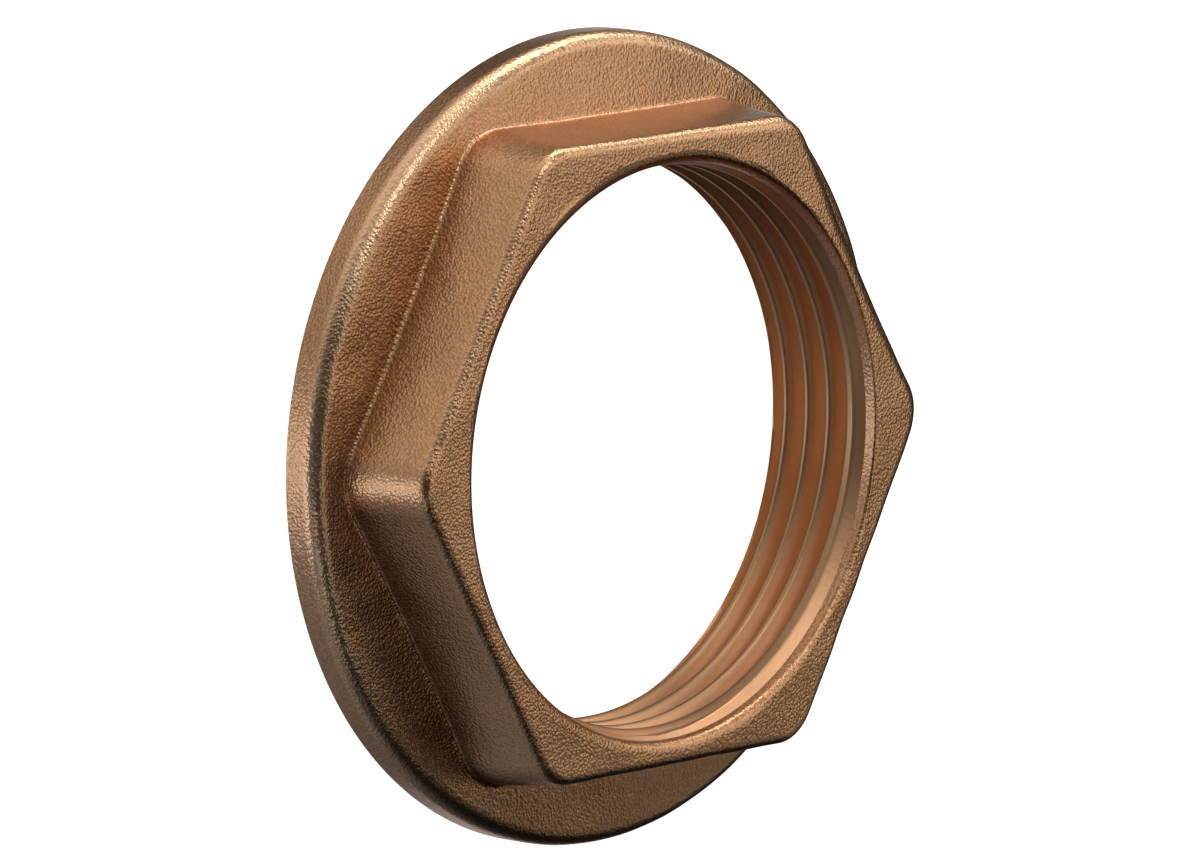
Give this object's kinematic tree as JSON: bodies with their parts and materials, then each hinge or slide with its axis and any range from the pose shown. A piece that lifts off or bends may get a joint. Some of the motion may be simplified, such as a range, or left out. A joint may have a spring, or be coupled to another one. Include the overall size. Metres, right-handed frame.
{
  "type": "flange nut",
  "caption": "Cast bronze flange nut: a round flange with a conical face carries a low drafted hexagon, and a wide pipe-threaded bore clamps it along a fitting's tail.",
  "frame": {"origin": "centre of the flat seat on the thread's axis", "axes": "+Z along the thread's axis from the seat to the hexagon's front face; two corners of the hexagon lie on X"},
  "size_m": [0.065, 0.065, 0.0114],
  "materials": {
    "cast_bronze": "as cast, grit blasted, with a machined bore"
  },
  "bodies": {
    "root": {"flange_nut": "cast_bronze"}
  },
  "joints": []
}
